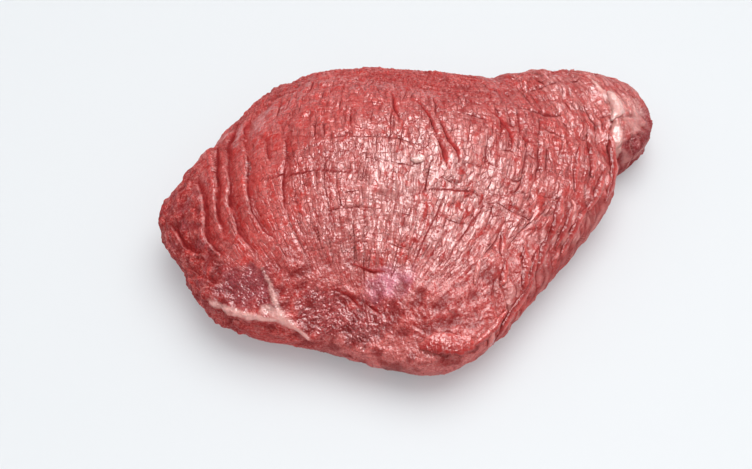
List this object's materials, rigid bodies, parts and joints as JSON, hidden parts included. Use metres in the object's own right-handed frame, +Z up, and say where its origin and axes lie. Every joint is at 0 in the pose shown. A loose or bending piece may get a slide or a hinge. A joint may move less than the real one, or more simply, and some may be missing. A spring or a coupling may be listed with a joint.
{
  "type": "raw beef rump roast",
  "caption": "Trimmed raw beef roast: a broad kite-shaped muscle with a thinner tail, folded at its blunt end and pleated along one cut side, lying flat.",
  "frame": {"origin": "middle of the roast's flat base, which lies at z = 0", "axes": "+Z up; +X along the roast from its blunt folded end to its thin tail; +Y to its thick back"},
  "size_m": [0.3093, 0.219, 0.0724],
  "materials": {
    "meat": "damp raw beef with a soft wet shine"
  },
  "bodies": {
    "root": {"rump_roast": "meat"}
  },
  "joints": []
}
